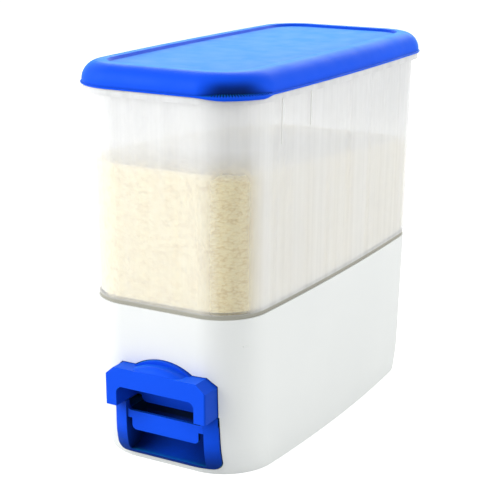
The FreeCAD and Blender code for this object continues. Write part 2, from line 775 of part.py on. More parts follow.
def make_outlet_seal():
    """Soft lip under the spout that levels the measure."""
    low = slide_top_z + seal_lip_gap
    high = low + seal_lip_height
    outer = loft([outlet_section(low, seal_lip_width), outlet_section(high, seal_lip_width)])
    inner = loft([outlet_section(low, 0.0), outlet_section(high, 0.0)])
    return outer.cut(inner)


def make_rice():
    """Rice that fills the funnel and the lower part of the hopper, as one heap that falls towards the back."""
    spout = loft([outlet_section(spout_low_z, -rice_gap), outlet_section(spout_top_z, -rice_gap)])
    slope = loft([outlet_section(spout_top_z, -rice_gap),
                  base_section(funnel_rim_z, slope_inset + funnel_wall + rice_gap)])
    step_z = hopper_bottom_z + spigot_step_height + rice_gap
    spigot_inset = base_wall + fit_gap + spigot_wall + rice_gap
    neck = loft([base_section(funnel_rim_z + rice_gap, spigot_inset), base_section(step_z, spigot_inset)])
    throat = loft([base_section(funnel_rim_z, slope_inset + funnel_wall + rice_gap),
                   base_section(funnel_rim_z + rice_gap, slope_inset + funnel_wall + rice_gap)])
    wall_inset = hopper_wall + rice_gap
    heap = loft([hopper_section(step_z, wall_inset), hopper_section(flange_z, wall_inset)])
    heap = heap.cut(above_rice())
    return spout.fuse(slope).fuse(throat).fuse(neck).fuse(heap).removeSplitter()


def above_rice():
    """Everything above the heap's gently crowned surface."""
    reach = hopper_top_half_depth
    middle_z = (rice_front_z + rice_back_z) / 2 + rice_crown
    low = Vector(0, -reach, rice_front_z)
    high = Vector(0, reach, rice_back_z)
    surface = Part.Arc(low, Vector(0, 0, middle_z), high).toShape()
    lid_low = Vector(0, -reach, lid_top_z)
    lid_high = Vector(0, reach, lid_top_z)
    edges = [
        surface,
        Part.LineSegment(high, lid_high).toShape(),
        Part.LineSegment(lid_high, lid_low).toShape(),
        Part.LineSegment(lid_low, low).toShape(),
    ]
    section = Part.Face(Part.Wire(edges))
    section.translate(Vector(-hopper_top_half_width - over, 0, 0))
    return section.extrude(Vector(2 * (hopper_top_half_width + over), 0, 0))


# ---------------------------------------------------------------- lid
def lid_section(z, inset):
    return contour(hopper_top_half_width + lid_overhang, hopper_top_half_depth + lid_overhang, side_bow,
                   hopper_top_corner_radius + lid_overhang, z, inset)


def lid_dome(low_z, top_z, inset, radius, steps):
    """Solid under a lid's skin: upright skirt, then a quarter round in steps up to a flat top."""
    wires = [lid_section(low_z, inset)]
    for index in range(steps + 1):
        angle = math.pi / 2 * index / steps
        z = top_z - radius * (1.0 - math.sin(angle))
        wires.append(lid_section(z, inset + radius * (1.0 - math.cos(angle))))
    return loft(wires)


def make_lid():
    skirt_z = lid_lip_z + lid_lip_height
    lip = loft([lid_section(lid_lip_z, 0.0), lid_section(skirt_z, 0.0)])
    dome = lid_dome(lid_lip_z, lid_top_z, lid_lip_flare, lid_edge_radius, lid_edge_steps)
    lid = lip.fuse(dome)
    panel_z = lid_top_z - panel_depth
    panel = loft([lid_section(panel_z, panel_margin + panel_edge_slope), lid_section(lid_top_z, panel_margin)])
    lid = lid.cut(panel)
    lid = lid.fuse(tab_solid())
    lid = lid.cut(scoop_ball(scoop_radius, skirt_z))
    hollow_top = panel_z - lid_wall
    hollow = lid_dome(lid_lip_z, hollow_top, lid_wall + lid_lip_flare, hollow_edge_radius, lid_edge_steps // 2)
    hollow = hollow.cut(scoop_ball(scoop_radius + scoop_wall, skirt_z - scoop_wall))
    lid = lid.cut(hollow)
    lid = lid.fuse(seal_rib(hollow_top))
    for cutter in tab_grips():
        lid = lid.cut(cutter)
    return lid.removeSplitter()


def corner_centre():
    """Centre of the lid's front right corner arc."""
    half_depth = hopper_top_half_depth + lid_overhang
    half_width = hopper_top_half_width + lid_overhang
    radius = hopper_top_corner_radius + lid_overhang
    side_radius = (half_depth ** 2 + side_bow ** 2) / (2 * side_bow)
    corner_y = half_depth - radius
    corner_x = half_width - side_radius + math.sqrt((side_radius - radius) ** 2 - corner_y ** 2)
    return corner_x, -corner_y, radius


def tab_solid():
    """Lift tab: the lip steps out and down round the front right corner."""
    x, y, radius = corner_centre()
    low = lid_lip_z - tab_drop
    height = tab_drop + lid_lip_height
    outer = Part.makeCylinder(radius + tab_reach, height, Vector(x, y, low), AXIS_Z, tab_angle_end - tab_angle_start)
    outer.rotate(Vector(x, y, low), AXIS_Z, tab_angle_start)
    clear = lid_overhang - flange_reach - 2 * fit_gap
    inner = Part.makeCylinder(radius - clear, height, Vector(x, y, low))
    return outer.cut(inner)


def tab_grips():
    """Fine grooves on the tab's upper face."""
    x, y, radius = corner_centre()
    span = tab_angle_end - tab_angle_start
    cutters = []
    for index in range(tab_grip_count):
        angle = math.radians(tab_angle_start + span * (index + 0.5) / tab_grip_count)
        centre = Vector(x + (radius + tab_reach) * math.cos(angle), y + (radius + tab_reach) * math.sin(angle),
                        lid_lip_z - tab_drop)
        cutters.append(Part.makeCylinder(tab_grip_depth, tab_drop + lid_lip_height, centre))
    return cutters


def scoop_ball(radius, low_z):
    """Ball that presses the scoop for a fingertip into the skirt, above low_z only."""
    x, y, corner_radius = corner_centre()
    angle = math.radians((tab_angle_start + tab_angle_end) / 2)
    reach = corner_radius - lid_lip_flare - scoop_depth + scoop_radius
    centre = Vector(x + reach * math.cos(angle), y + reach * math.sin(angle), lid_lip_z + scoop_rise)
    ball = Part.makeSphere(radius, centre)
    return ball.common(box(0, 2 * centre.x, 2 * centre.y, 0, low_z, centre.z + radius))


def seal_rib(top_z):
    """Rib under the lid that presses the seal onto the hopper's edge."""
    low = hopper_top_z + seal_height + 2 * fit_gap
    inset = (hopper_wall - seal_rib_wall) / 2
    return hopper_ring(low, top_z + lid_wall / 2, -inset, inset + seal_rib_wall)


def make_lid_seal():
    """Soft ring under the lid that closes on the hopper's top edge."""
    low = hopper_top_z + fit_gap
    high = low + seal_height
    middle = hopper_wall / 2
    half = seal_width / 2
    outer = loft([hopper_section(low, middle - half), hopper_section(high, middle - half)])
    inner = loft([hopper_section(low, middle + half), hopper_section(high, middle + half)])
    return outer.cut(inner)


# ---------------------------------------------------------------- output
def main():
    nodes = {
        "base_shell": make_base_shell(),
        "base_floor": make_base_floor(),
        "floor_screws": make_floor_screws(),
        "chassis": make_chassis(),
        "chassis_screws": make_chassis_screws(),
        "drawer_runner_left": make_runner(-1),
        "drawer_runner_right": make_runner(1),
        "slide_rail_left": make_rail(-1),
        "slide_rail_right": make_rail(1),
        "rail_screws": make_rail_screws(),
        "drawer_stops": make_drawer_stops(),
        "measure_slide": make_measure_slide(),
        "outlet_shutter": make_shutter(),
        "slide_handle": make_handle(),
        "handle_screws": make_handle_screws(),
        "drawer_front": make_drawer_front(),
        "drawer_tray": make_drawer_tray(),
        "hopper": make_hopper(),
        "seam_gasket": make_gasket(),
        "hopper_funnel": make_funnel(),
        "outlet_seal": make_outlet_seal(),
        "rice": make_rice(),
        "lid": make_lid(),
        "lid_seal": make_lid_seal(),
    }
    os.makedirs("parts", exist_ok=True)
    for name, shape in nodes.items():
        shape.exportStep("parts/" + name + ".step")
        print(name, "solids", len(shape.Solids), "valid", shape.isValid())


main()
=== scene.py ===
"""Looks of the rice dispenser: materials, smooth outer shells, rice, studio and camera."""

import math
import random

import bpy
from mathutils import Matrix, Vector


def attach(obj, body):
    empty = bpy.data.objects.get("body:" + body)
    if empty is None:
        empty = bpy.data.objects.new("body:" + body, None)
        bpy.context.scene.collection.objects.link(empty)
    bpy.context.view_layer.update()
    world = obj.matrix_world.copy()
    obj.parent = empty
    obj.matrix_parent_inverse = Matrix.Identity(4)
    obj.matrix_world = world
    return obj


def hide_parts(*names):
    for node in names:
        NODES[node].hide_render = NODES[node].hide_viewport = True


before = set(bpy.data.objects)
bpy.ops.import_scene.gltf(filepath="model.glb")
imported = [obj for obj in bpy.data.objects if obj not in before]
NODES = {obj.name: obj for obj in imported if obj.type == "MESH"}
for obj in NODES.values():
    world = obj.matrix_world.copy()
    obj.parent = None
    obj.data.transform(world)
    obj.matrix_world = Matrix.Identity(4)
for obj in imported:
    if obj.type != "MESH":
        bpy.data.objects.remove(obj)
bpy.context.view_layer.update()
MM = 0.001

# ------------------------------------------------------------------ sizes of the body, in millimetres
# Half width, half depth, corner radius and bow of the long sides, at the seam, the rim and the foot.
SEAM_Z, HALF_W, HALF_D, CORNER, BOW = 150.0, 88.3, 187.8, 44.2, 6.0
TOP_Z, TOP_W, TOP_D, TOP_CORNER = 345.0, 90.8, 189.8, 45.2
LOW_W, LOW_D, LOW_CORNER, LOW_BOW = 88.4, 186.4, 51.0, 9.6
RICE_FRONT_Z, RICE_BACK_Z, RICE_CROWN = 275.0, 245.0, 5.0
RICE_MIDDLE_Z = (RICE_FRONT_Z + RICE_BACK_Z) / 2
RICE_SLOPE = (RICE_BACK_Z - RICE_FRONT_Z) / (2 * TOP_D)


def lerp(a, b, t):
    """Value at share t of the way from a to b."""
    return a + (b - a) * t


def side_arc(half_w, half_d, bow):
    """Radius and centre X of the arc of the bowed right side."""
    side_r = (half_d ** 2 + bow ** 2) / (2 * bow)
    return side_r, half_w - side_r


def corner_centre(half_w, half_d, bow, radius):
    """Centre of the corner that touches the bowed right side and the flat rear end."""
    side_r, side_x = side_arc(half_w, half_d, bow)
    cy = half_d - radius
    return side_x + math.sqrt((side_r - radius) ** 2 - cy ** 2), cy


def contour(half_w, half_d, bow, radius, inset=0.0, side_n=24, corner_n=14, end_n=6):
    """Closed list of (x, y), counter-clockwise from the right side's front end.

    The long sides are bowed, the corners round and the ends flat."""
    side_r, side_x = side_arc(half_w, half_d, bow)
    cx, cy = corner_centre(half_w, half_d, bow, radius)
    turn = math.atan2(cy, cx - side_x)
    rs, rc = side_r - inset, radius - inset
    right = [(side_x + rs * math.cos(a), rs * math.sin(a))
             for a in (lerp(-turn, turn, i / side_n) for i in range(side_n + 1))]
    corner = [(cx + rc * math.cos(a), cy + rc * math.sin(a))
              for a in (lerp(turn, math.pi / 2, i / corner_n) for i in range(1, corner_n + 1))]
    end = [(lerp(cx, -cx, i / end_n), half_d - inset) for i in range(1, end_n)]
    top = corner + end + [(-x, y) for x, y in reversed(corner)]
    left = [(-x, y) for x, y in reversed(right)]
    bottom = [(-x, -y) for x, y in top]
    return right + top + left + bottom


def hopper_section(z, inset=0.0, **counts):
    """Outline of the hopper at height z."""
    t = (z - SEAM_Z) / (TOP_Z - SEAM_Z)
    return contour(lerp(HALF_W, TOP_W, t), lerp(HALF_D, TOP_D, t), BOW, lerp(CORNER, TOP_CORNER, t), inset,
                   **counts)


# ------------------------------------------------------------------ colours and haze
# The blue's mottling runs between the first two tones; the third is the painted shade that its recesses,
# hollow, scoop and +X faces are darkened towards.
BLUE_LIGHT, BLUE_DARK, BLUE_PAINTED_SHADE = (0.006, 0.090, 0.90), (0.005, 0.080, 0.84), (0.001, 0.004, 0.03)
BLUE_GLINT, BLUE_SHEEN, BLUE_SHEEN_WEIGHT = (0.35, 0.85, 1.0), (0.01, 0.6, 0.87), 0.7
# Shares of painted shade: how much darker the drawer's hollow and the lid's scoop are painted, and how much
# of a recess's painted shade is taken off above open_z.
HOLLOW_PAINTED_SHADE, SCOOP_PAINTED_SHADE, SHADE_RELIEF = 0.97, 0.75, 0.6
# The third rice tone is reached on darker grains and, as painted shade, in the gaps between the grains.
RICE_LIGHT, RICE_MIDDLE, RICE_DARK_AND_SHADE = (0.93, 0.84, 0.52), (0.90, 0.78, 0.44), (0.75, 0.60, 0.30)
GRAIN_SCALE, GRAIN_FLATNESS, GRAIN_WOBBLE, GRAIN_TONES = 250.0, 1.9, 0.005, 0.7
# Haze of the hopper on its sides, its ends and its corners, above the rice, and for shadow rays (a share).
HAZE_SIDE, HAZE_END, HAZE_CORNER, HAZE_EMPTY, HAZE_LIGHT = 0.62, 0.35, 0.14, 0.62, 0.1
CORNER_REACH, LEFT_CORNER_SHARE = 4.6, 0.2
HEAP_BAND = (-0.006, 0.022)   # the haze grows over this height about the rice's surface, in metres
STREAK_SCALE, STREAK_DEPTH = (70.0, 70.0, 1.5), 0.64
# Hollow behind the drawer's bar, in metres, which is painted nearly black as shade.
DRAWER_HOLLOW = {"front": -0.181, "back": -0.1532, "floor": 0.033, "middle": 0.0047, "half_width": 0.0412}


# ------------------------------------------------------------------ material helpers
def new_material(name):
    """Material with only a Principled shader, as (material, nodes, links, shader)."""
    mat = bpy.data.materials.new(name)
    mat.use_nodes = True
    nodes = mat.node_tree.nodes
    nodes.clear()
    out = nodes.new("ShaderNodeOutputMaterial")
    bsdf = nodes.new("ShaderNodeBsdfPrincipled")
    mat.node_tree.links.new(bsdf.outputs[0], out.inputs[0])
    return mat, nodes, mat.node_tree.links, bsdf


def obj_coords(nodes, links, scale=(1, 1, 1)):
    """Place on the piece, in metres of its own frame."""
    tex = nodes.new("ShaderNodeTexCoord")
    mapping = nodes.new("ShaderNodeMapping")
    mapping.inputs["Scale"].default_value = scale
    links.new(tex.outputs["Object"], mapping.inputs[0])
    return mapping.outputs[0]


def noise(nodes, links, vector, scale, detail=3.0, rough=0.5):
    """Noise value from 0 to 1."""
    tex = nodes.new("ShaderNodeTexNoise")
    tex.inputs["Scale"].default_value = scale
    tex.inputs["Detail"].default_value = detail
    tex.inputs["Roughness"].default_value = rough
    links.new(vector, tex.inputs["Vector"])
    return tex.outputs["Fac"]


def math_node(nodes, links, operation, *values):
    """Output of a math node whose inputs are numbers or other nodes' outputs."""
    node = nodes.new("ShaderNodeMath")
    node.operation = operation
    for socket, value in zip(node.inputs, values):
        if isinstance(value, (int, float)):
            socket.default_value = value
        else:
            links.new(value, socket)
    return node.outputs[0]


def product(nodes, links, first, *others):
    """Product of two or more values."""
    for other in others:
        first = math_node(nodes, links, "MULTIPLY", first, other)
    return first


def step_at(nodes, links, value, threshold, slope):
    """0 up to the threshold and 1 from 1/slope past it; a negative slope gives 1 before it and 0 after it."""
    share = math_node(nodes, links, "MULTIPLY_ADD", value, slope, -slope * threshold)
    share.node.use_clamp = True
    return share


def split_xyz(nodes, links, vector):
    """The X, Y and Z outputs of a vector."""
    node = nodes.new("ShaderNodeSeparateXYZ")
    links.new(vector, node.inputs[0])
    return node.outputs


def own_normal(nodes):
    """Direction that the surface faces, in the piece's own frame."""
    return nodes.new("ShaderNodeTexCoord").outputs["Normal"]


def ramp(nodes, links, fac, stops):
    """Colour by a list of (position, colour)."""
    node = nodes.new("ShaderNodeValToRGB")
    while len(node.color_ramp.elements) < len(stops):
        node.color_ramp.elements.new(0.5)
    for element, (place, colour) in zip(node.color_ramp.elements, stops):
        element.position = place
        element.color = (*colour, 1)
    links.new(fac, node.inputs[0])
    return node.outputs[0]


def bump(nodes, links, bsdf, height, strength, distance):
    """Fine relief in the shading; the distance is in metres."""
    node = nodes.new("ShaderNodeBump")
    node.inputs["Strength"].default_value = strength
    node.inputs["Distance"].default_value = distance
    links.new(height, node.inputs["Height"])
    links.new(node.outputs[0], bsdf.inputs["Normal"])


def moulded(name, light, dark, rough, grain=900.0, grain_bump=0.12, mottling=9.0):
    """Injection-moulded plastic: slight colour mottling, fine surface grain, uneven gloss."""
    mat, nodes, links, bsdf = new_material(name)
    co = obj_coords(nodes, links)
    cloud = noise(nodes, links, co, mottling, 4.0)
    links.new(ramp(nodes, links, cloud, [(0.3, dark), (0.7, light)]), bsdf.inputs["Base Color"])
    patches = noise(nodes, links, co, mottling * 6, 3.0)
    links.new(ramp(nodes, links, patches, [(0.3, (rough * 0.9,) * 3), (0.7, (rough * 1.1,) * 3)]),
              bsdf.inputs["Roughness"])
    bump(nodes, links, bsdf, noise(nodes, links, co, grain, 2.0), grain_bump, 0.0001)
    return mat, bsdf


def cavity_share(nodes, links, place, cavity):
    """1 inside the hollow, where the blue gets painted shade, 0 outside it."""
    off_middle = math_node(nodes, links, "ABSOLUTE",
                           math_node(nodes, links, "SUBTRACT", place["X"], cavity["middle"]))
    return product(nodes, links,
                   step_at(nodes, links, place["Y"], cavity["front"], 300.0),
                   step_at(nodes, links, place["Z"], cavity["floor"], 200.0),
                   step_at(nodes, links, off_middle, cavity["half_width"], -2000.0),
                   step_at(nodes, links, place["Y"], cavity["back"], -2000.0))


def make_blue(name, reach, power, open_z=None, cavity=None, side_shade=0.0):
    """Satin blue with a cyan sheen where it is seen at a low angle, and painted shade in its recesses.

    Ambient occlusion paints the shade, towards a near-black blue. Above open_z less shade is painted into the
    recesses, inside the cavity the painted shade makes it nearly black, and side_shade paints shade on the
    faces that look to +X. The mesh attribute "shade" paints shade on it too."""
    mat, bsdf = moulded(name, BLUE_LIGHT, BLUE_DARK, 0.5)
    nodes, links = mat.node_tree.nodes, mat.node_tree.links
    pigment = bsdf.inputs["Base Color"].links[0].from_socket
    # Painted shade: ambient occlusion darkens the recesses.
    nearby = nodes.new("ShaderNodeAmbientOcclusion")
    nearby.samples = 8
    nearby.inputs["Distance"].default_value = reach
    open_share = math_node(nodes, links, "POWER", nearby.outputs["AO"], power)
    place = split_xyz(nodes, links, obj_coords(nodes, links))
    # Above open_z part of the painted shade is taken off.
    if open_z:
        lifted = step_at(nodes, links, place["Z"], open_z, 160.0)
        kept = math_node(nodes, links, "MULTIPLY_ADD", lifted, -SHADE_RELIEF, 1.0)
        shaded = product(nodes, links, math_node(nodes, links, "SUBTRACT", 1.0, open_share), kept)
        open_share = math_node(nodes, links, "SUBTRACT", 1.0, shaded)
    # Painted shade in the cavity, nearly black.
    if cavity:
        inside = cavity_share(nodes, links, place, cavity)
        open_share = product(nodes, links, open_share,
                             math_node(nodes, links, "MULTIPLY_ADD", inside, -HOLLOW_PAINTED_SHADE, 1.0))
    # Painted shade on the faces that look to +X.
    if side_shade:
        right = math_node(nodes, links, "MAXIMUM", split_xyz(nodes, links, own_normal(nodes))["X"], 0.0)
        open_share = product(nodes, links, open_share,
                             math_node(nodes, links, "MULTIPLY_ADD", right, -side_shade, 1.0))
    # Painted shade from the mesh's "shade" attribute, in the lid's finger scoop.
    scoop_shade = nodes.new("ShaderNodeAttribute")
    scoop_shade.attribute_name = "shade"
    light_share = math_node(nodes, links, "MULTIPLY_ADD", scoop_shade.outputs["Fac"], -SCOOP_PAINTED_SHADE, 1.0)
    mix = nodes.new("ShaderNodeMix")
    mix.data_type = "RGBA"
    links.new(product(nodes, links, open_share, light_share), mix.inputs["Factor"])
    mix.inputs["A"].default_value = (*BLUE_PAINTED_SHADE, 1)
    links.new(pigment, mix.inputs["B"])
    links.new(mix.outputs["Result"], bsdf.inputs["Base Color"])
    bsdf.inputs["Specular IOR Level"].default_value = 0.12
    bsdf.inputs["Specular Tint"].default_value = (*BLUE_GLINT, 1)
    bsdf.inputs["Sheen Weight"].default_value = BLUE_SHEEN_WEIGHT
    bsdf.inputs["Sheen Roughness"].default_value = 0.3
    bsdf.inputs["Sheen Tint"].default_value = (*BLUE_SHEEN, 1)
    return mat


def make_white():
    """White moulded plastic of the base."""
    mat, bsdf = moulded("white_plastic", (0.87, 0.885, 0.865), (0.845, 0.862, 0.845), 0.45)
    bsdf.inputs["Specular IOR Level"].default_value = 0.35
    return mat


def make_steel():
    """Zinc-plated steel of the screws."""
    mat, nodes, links, bsdf = new_material("zinc_steel")
    spangle = noise(nodes, links, obj_coords(nodes, links), 400.0)
    links.new(ramp(nodes, links, spangle, [(0.3, (0.5, 0.5, 0.52)), (0.7, (0.62, 0.62, 0.64))]),
              bsdf.inputs["Base Color"])
    bsdf.inputs["Metallic"].default_value = 1.0
    bsdf.inputs["Roughness"].default_value = 0.35
    return mat


def haze_by_direction(nodes, links):
    """Haze on the ends, more of it on the sides, and least round the corners on the right."""
    facing = split_xyz(nodes, links, own_normal(nodes))
    side = math_node(nodes, links, "POWER", math_node(nodes, links, "ABSOLUTE", facing["X"]), 2.0)
    end = math_node(nodes, links, "POWER", math_node(nodes, links, "ABSOLUTE", facing["Y"]), 2.0)
    corner = product(nodes, links, side, end, CORNER_REACH)
    corner.node.use_clamp = True
    on_right = math_node(nodes, links, "GREATER_THAN", facing["X"], 0.0)
    share = math_node(nodes, links, "MULTIPLY_ADD", on_right, 1 - LEFT_CORNER_SHARE, LEFT_CORNER_SHARE)
    corner = product(nodes, links, corner, share)
    on_side, on_end = product(nodes, links, side, HAZE_SIDE), product(nodes, links, end, HAZE_END)
    flat = math_node(nodes, links, "ADD", on_side, on_end)
    clearing = product(nodes, links, corner, (HAZE_SIDE + HAZE_END) / 2 - HAZE_CORNER)
    cleared = math_node(nodes, links, "SUBTRACT", flat, clearing)
    return math_node(nodes, links, "MAXIMUM", cleared, HAZE_CORNER)


def above_heap(nodes, links, place):
    """0 below the surface of the rice, 1 well above it."""
    heap = math_node(nodes, links, "MULTIPLY_ADD", place["Y"], RICE_SLOPE, RICE_MIDDLE_Z * MM)
    above = nodes.new("ShaderNodeMapRange")
    links.new(math_node(nodes, links, "SUBTRACT", place["Z"], heap), above.inputs["Value"])
    above.inputs["From Min"].default_value, above.inputs["From Max"].default_value = HEAP_BAND
    above.inputs["To Min"].default_value, above.inputs["To Max"].default_value = 0.0, 1.0
    return above.outputs[0]


def make_frosted():
    """Frosted wall whose haze is its alpha, with upright streaks; it lets most of the light through."""
    mat, nodes, links, bsdf = new_material("frosted_plastic")
    co = obj_coords(nodes, links)
    cloud = noise(nodes, links, co, 7.0, 4.0)
    links.new(ramp(nodes, links, cloud, [(0.3, (0.86, 0.865, 0.86)), (0.7, (0.89, 0.895, 0.89))]),
              bsdf.inputs["Base Color"])
    bump(nodes, links, bsdf, noise(nodes, links, co, 700.0, 2.0), 0.1, 0.0001)
    bsdf.inputs["Roughness"].default_value = 0.38
    bsdf.inputs["Specular IOR Level"].default_value = 0.3
    haze = haze_by_direction(nodes, links)
    missing = math_node(nodes, links, "SUBTRACT", HAZE_EMPTY, haze)
    empty = product(nodes, links, above_heap(nodes, links, split_xyz(nodes, links, co)), missing)
    haze = math_node(nodes, links, "ADD", haze, empty)
    streaks = noise(nodes, links, obj_coords(nodes, links, STREAK_SCALE), 1.0, 3.0)
    uneven = math_node(nodes, links, "MULTIPLY_ADD", streaks, STREAK_DEPTH, 1 - STREAK_DEPTH / 2)
    shadow = nodes.new("ShaderNodeLightPath").outputs["Is Shadow Ray"]
    dimming = math_node(nodes, links, "MULTIPLY_ADD", shadow, HAZE_LIGHT - 1.0, 1.0)
    links.new(product(nodes, links, haze, uneven, dimming), bsdf.inputs["Alpha"])
    return mat


def make_rice_material():
    """Dry rice: pale lying grains, each a little different, with painted shade in the gaps between them."""
    mat, nodes, links, bsdf = new_material("rice")
    co = obj_coords(nodes, links, (1.0, 1.0, GRAIN_FLATNESS))
    wobble = nodes.new("ShaderNodeTexNoise")
    wobble.inputs["Scale"].default_value = 160.0
    links.new(co, wobble.inputs["Vector"])
    mix = nodes.new("ShaderNodeVectorMath")
    mix.operation = "MULTIPLY_ADD"
    links.new(wobble.outputs["Color"], mix.inputs[0])
    mix.inputs[1].default_value = (GRAIN_WOBBLE, GRAIN_WOBBLE, GRAIN_WOBBLE)
    links.new(co, mix.inputs[2])
    cells = nodes.new("ShaderNodeTexVoronoi")
    cells.inputs["Scale"].default_value = GRAIN_SCALE
    links.new(mix.outputs[0], cells.inputs["Vector"])
    chance = split_xyz(nodes, links, cells.outputs["Color"])["X"]
    own_tone = math_node(nodes, links, "MULTIPLY_ADD", chance, GRAIN_TONES, -0.5)
    tone = math_node(nodes, links, "ADD", cells.outputs["Distance"], own_tone)
    # Darker towards each cell's edge as painted shade between the grains; each grain's own tone shifts it at
    # random.
    links.new(ramp(nodes, links, tone, [(0.1, RICE_LIGHT), (0.45, RICE_MIDDLE), (0.85, RICE_DARK_AND_SHADE)]),
              bsdf.inputs["Base Color"])
    bump(nodes, links, bsdf, cells.outputs["Distance"], 0.5, 0.001)
    bsdf.inputs["Roughness"].default_value = 0.6
    return mat


# The lid, the handle and the drawer front are copies of one blue with different painted shade: occlusion in
# recesses, the drawer's near-black hollow and darker +X faces.
blue = make_blue("blue_plastic", 0.024, 1.75)
handle_blue = make_blue("blue_plastic_handle", 0.02, 0.95, open_z=0.084, side_shade=0.4)
drawer_blue = make_blue("blue_plastic_drawer", 0.035, 2.1, cavity=DRAWER_HOLLOW, side_shade=0.3)
white, steel, frosted = make_white(), make_steel(), make_frosted()
rice_look = make_rice_material()
natural = moulded("natural_plastic", (0.80, 0.80, 0.76), (0.76, 0.76, 0.72), 0.4)[0]
rubber = moulded("grey_rubber", (0.39, 0.38, 0.32), (0.34, 0.33, 0.28), 0.7)[0]
BY_NODE = {
    "base_shell": white, "base_floor": white, "chassis": white, "drawer_runner_left": white,
    "drawer_runner_right": white, "slide_rail_left": white, "slide_rail_right": white, "drawer_stops": white,
    "floor_screws": steel, "chassis_screws": steel, "rail_screws": steel, "handle_screws": steel,
    "seam_gasket": rubber, "outlet_seal": rubber, "lid_seal": rubber, "rice": rice_look,
    "hopper": frosted, "hopper_funnel": natural, "measure_slide": natural, "outlet_shutter": natural,
    "drawer_tray": natural, "lid": blue, "slide_handle": handle_blue, "drawer_front": drawer_blue,
}
for node_name, mat in BY_NODE.items():
    mesh = NODES[node_name].data
    mesh.materials.clear()
    mesh.materials.append(mat)


# ------------------------------------------------------------------ mesh helpers
def mesh_object(name, verts, faces, mat, body, smooth_angle=35.0):
    """New piece that rides on a body, with the given material."""
    mesh = bpy.data.meshes.new(name)
    mesh.from_pydata([tuple(v) for v in verts], [], faces)
    mesh.validate()
    obj = bpy.data.objects.new(name, mesh)
    bpy.context.scene.collection.objects.link(obj)
    mesh.materials.append(mat)
    mesh.shade_smooth()
    mesh.set_sharp_from_angle(angle=math.radians(smooth_angle))
    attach(obj, body)
    return obj


def stacked_faces(count, rows):
    """Faces between stacked closed rows of vertices, then the lower cap and the upper cap."""
    faces = []
    for low in range(0, (rows - 1) * count, count):
        high = low + count
        faces += [(low + i, low + (i + 1) % count, high + (i + 1) % count, high + i) for i in range(count)]
    faces.append(tuple(reversed(range(count))))
    faces.append(tuple(range((rows - 1) * count, rows * count)))
    return faces


# ------------------------------------------------------------------ lid
LID_OVER, LIP_Z, LID_TOP_Z = 7.3, 340.6, 360.0
LIP_INSET, EDGE_R, HOLLOW_R, LID_WALL = 1.2, 16.5, 11.5, 2.2
PANEL_IN, PANEL_DEPTH = 24.0, 2.6
TAB_REACH, TAB_DROP, TOOTH_COUNT, TOOTH_HEIGHT = 3.4, 1.6, 24, 0.9
SCOOP_DEPTH, SCOOP_MIDDLE, SCOOP_SPAN = 3.7, -50.0, 36.0   # the middle and span are angles, in degrees
# How far in from the outline the painted shade of the finger scoop reaches, in millimetres.
SHADE_REACH = 16.0
RIB_LIFT, RIB_WALL = 3.8, 2.4


def smooth(low, high, value):
    """Soft step from 0 at low to 1 at high."""
    t = min(max((value - low) / (high - low), 0.0), 1.0)
    return t * t * (3 - 2 * t)


def lid_stations():
    """Points of the lid's outline as (x, y, normal x, normal y, normal's angle in degrees)."""
    half_w, half_d, radius = TOP_W + LID_OVER, TOP_D + LID_OVER, TOP_CORNER + LID_OVER
    side_r, side_x = side_arc(half_w, half_d, BOW)
    cx, cy = corner_centre(half_w, half_d, BOW, radius)
    turn = math.atan2(cy, cx - side_x)
    arcs = [
        (side_x, 0.0, side_r, -turn, turn, 30),
        (cx, cy, radius, turn, math.pi / 2, 28),
        (-cx, cy, radius, math.pi / 2, math.pi - turn, 28),
        (-side_x, 0.0, side_r, math.pi - turn, math.pi + turn, 30),
        (-cx, -cy, radius, math.pi + turn, 1.5 * math.pi, 28),
        (cx, -cy, radius, -math.pi / 2, -turn, 300),
    ]
    stations = []
    for x, y, r, start, end, count in arcs:
        for k in range(count):
            a = lerp(start, end, k / count)
            normal = (math.cos(a), math.sin(a))
            stations.append((x + r * normal[0], y + r * normal[1], *normal, math.degrees(a)))
    return stations


def tab_share(angle):
    """How far the finger tab reaches out at this angle round the front right corner."""
    return smooth(-90.0, -58.0, angle) * (1 - smooth(-24.0, -5.0, angle))


def scoop_share(angle, z):
    """Depth of the finger hollow above the tab, as a share."""
    across = max(0.0, 1 - abs(angle - SCOOP_MIDDLE) / SCOOP_SPAN)
    return smooth(0.0, 0.75, across) * (1 - smooth(LIP_Z + 5.0, LIP_Z + 17.0, z))


def tooth_share(angle):
    """Height of the small teeth along the tab, as a share."""
    wave = math.cos(math.tau * (angle + 9.0) * TOOTH_COUNT / 62.0)
    return smooth(-74.0, -69.0, angle) * (1 - smooth(-10.0, -7.0, angle)) * smooth(-0.5, 0.5, wave)


